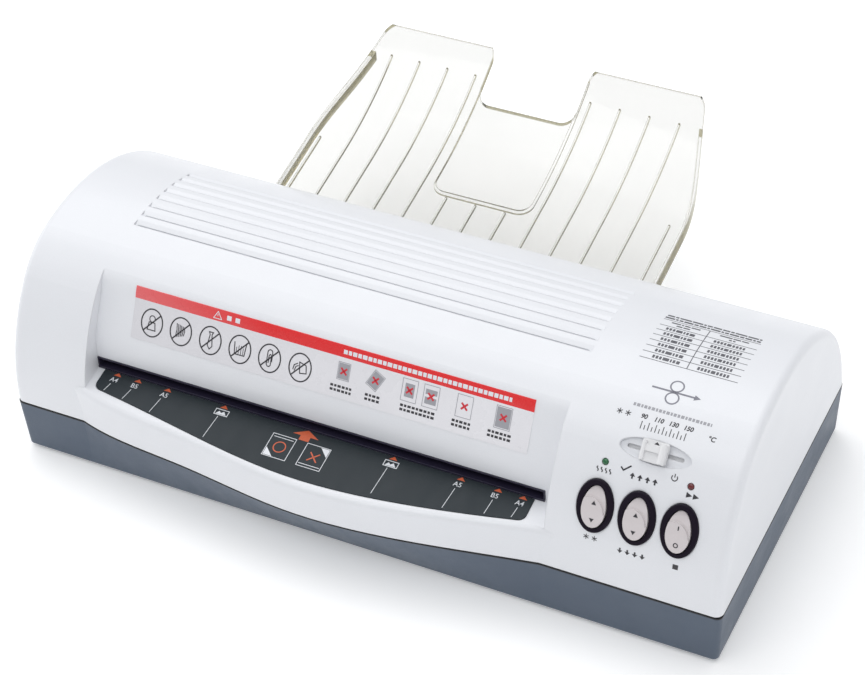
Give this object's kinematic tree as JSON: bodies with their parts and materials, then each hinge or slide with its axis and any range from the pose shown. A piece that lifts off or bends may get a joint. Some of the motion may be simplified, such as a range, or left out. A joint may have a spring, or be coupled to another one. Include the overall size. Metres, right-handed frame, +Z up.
{
  "type": "pouch laminator",
  "caption": "Desktop pouch laminator with a recessed feed slot, rocker switches, sliding temperature control, driven heated rollers and a clear output tray.",
  "frame": {"origin": "at table height, in the middle of the whole outline seen from above, output tray included", "axes": "+X along the rollers towards the control side, +Y to the back where the tray is, +Z up"},
  "size_m": [0.375, 0.3171, 0.1155],
  "materials": {
    "cover_plastic": "satin white moulding",
    "base_plastic": "fine-grained blue-grey moulding",
    "feed_plate": "dark slate, printed size marks",
    "black_plastic": "black moulding",
    "label": "printed sticker with a red band",
    "clear_plastic": "clear moulding, faint warm tint",
    "switch_black": "gloss black",
    "rocker_plastic": "pale pinkish grey",
    "lamp_green": "translucent green",
    "lamp_red": "translucent red",
    "knob_plastic": "satin white",
    "steel": "plated sheet and bar",
    "screw_steel": "zinc plated",
    "spring_steel": "drawn wire",
    "motor_can": "zinc-plated can",
    "aluminium": "mill finish",
    "brass": "bare",
    "mica": "mica-wrapped heating strip",
    "bush_plastic": "heat-resistant moulding",
    "roller_rubber": "silicone",
    "gear_plastic": "natural nylon",
    "board": "printed circuit board",
    "board_parts": "moulded components",
    "rubber": "black rubber"
  },
  "bodies": {
    "housing": {"cover": "cover_plastic", "base": "base_plastic", "feed_plate": "feed_plate", "slot_lining": "black_plastic", "hood_label": "label", "exit_frame": "black_plastic", "tray_sockets": "black_plastic", "switch_terminals": "brass", "lamp_green": "lamp_green", "lamp_red": "lamp_red", "slide_control": "steel", "side_plate_left": "steel", "side_plate_right": "steel", "tie_bars": "steel", "frame_screws": "screw_steel", "bushes": "bush_plastic", "pressure_springs": "spring_steel", "heater_shoe_lower": "aluminium", "heater_shoe_upper": "aluminium", "heater_strip_lower": "mica", "heater_strip_upper": "mica", "thermostat": "steel", "thermal_fuse": "brass", "heat_shield": "aluminium", "entry_guide": "black_plastic", "exit_guide": "black_plastic", "idler_axle": "steel", "motor": "motor_can", "motor_bracket": "steel", "motor_screws": "screw_steel", "control_board": "board", "board_parts": "board_parts", "board_screws": "screw_steel", "cord_gland": "rubber", "feet": "rubber", "casing_screws": "screw_steel", "switch_body_heat": "switch_black", "switch_body_direction": "switch_black", "switch_body_power": "switch_black"},
    "hot_roller_upper": {"hot_sleeve_upper": "roller_rubber", "hot_shaft_upper": "steel", "hot_gear_upper": "gear_plastic"},
    "hot_roller_lower": {"hot_sleeve_lower": "roller_rubber", "hot_shaft_lower": "steel", "hot_gear_lower": "gear_plastic"},
    "pull_roller_upper": {"pull_sleeve_upper": "roller_rubber", "pull_shaft_upper": "steel", "pull_gear_upper": "gear_plastic"},
    "pull_roller_lower": {"pull_sleeve_lower": "roller_rubber", "pull_shaft_lower": "steel", "pull_gear_lower": "gear_plastic"},
    "idler": {"idler_gear": "gear_plastic"},
    "motor_output": {"motor_shaft": "steel", "motor_pinion": "brass"},
    "heat_rocker": {"rocker_heat": "rocker_plastic"},
    "direction_rocker": {"rocker_direction": "rocker_plastic"},
    "power_rocker": {"rocker_power": "rocker_plastic"},
    "temperature_slide": {"temperature_knob": "knob_plastic", "slide_lever": "knob_plastic"},
    "tray": {"output_tray": "clear_plastic"}
  },
  "joints": [
    {"name": "hot_lower_spin", "type": "hinge", "parent": "housing", "child": "hot_roller_lower", "pos_m": [0, -0.08035, 0.049], "axis": [1, 0, 0], "continuous": true},
    {"name": "hot_upper_spin", "type": "hinge", "parent": "housing", "child": "hot_roller_upper", "pos_m": [0, -0.08035, 0.0714], "axis": [1, 0, 0], "continuous": true},
    {"name": "pull_lower_spin", "type": "hinge", "parent": "housing", "child": "pull_roller_lower", "pos_m": [0, -0.04035, 0.049], "axis": [1, 0, 0], "continuous": true},
    {"name": "pull_upper_spin", "type": "hinge", "parent": "housing", "child": "pull_roller_upper", "pos_m": [0, -0.04035, 0.0714], "axis": [1, 0, 0], "continuous": true},
    {"name": "idler_spin", "type": "hinge", "parent": "housing", "child": "idler", "pos_m": [0, -0.06035, 0.0294], "axis": [1, 0, 0], "continuous": true},
    {"name": "motor_spin", "type": "hinge", "parent": "housing", "child": "motor_output", "pos_m": [0, -0.03736, 0.02324], "axis": [1, 0, 0], "continuous": true},
    {"name": "heat_rock", "type": "hinge", "parent": "housing", "child": "heat_rocker", "pos_m": [0.1232, -0.13367, 0.07186], "axis": [1, 0, 0], "range_deg": [0, 12]},
    {"name": "direction_rock", "type": "hinge", "parent": "housing", "child": "direction_rocker", "pos_m": [0.1433, -0.13367, 0.07186], "axis": [1, 0, 0], "range_deg": [0, 12]},
    {"name": "power_rock", "type": "hinge", "parent": "housing", "child": "power_rocker", "pos_m": [0.1636, -0.13367, 0.07186], "axis": [1, 0, 0], "range_deg": [0, 12]},
    {"name": "temperature_travel", "type": "slide", "parent": "housing", "child": "temperature_slide", "axis": [1, 0, 0], "range_m": [-0.0105, 0.0105]},
    {"name": "tray_pull_out", "type": "slide", "parent": "housing", "child": "tray", "axis": [0, 0.9833, 0.1822], "range_m": [0, 0.014]}
  ],
  "couplings": [
    {"joint": "hot_upper_spin", "follows": "hot_lower_spin", "ratio": -1},
    {"joint": "pull_lower_spin", "follows": "hot_lower_spin", "ratio": 1},
    {"joint": "pull_upper_spin", "follows": "hot_lower_spin", "ratio": -1},
    {"joint": "idler_spin", "follows": "hot_lower_spin", "ratio": -0.66667},
    {"joint": "motor_spin", "follows": "hot_lower_spin", "ratio": 1.6}
  ]
}
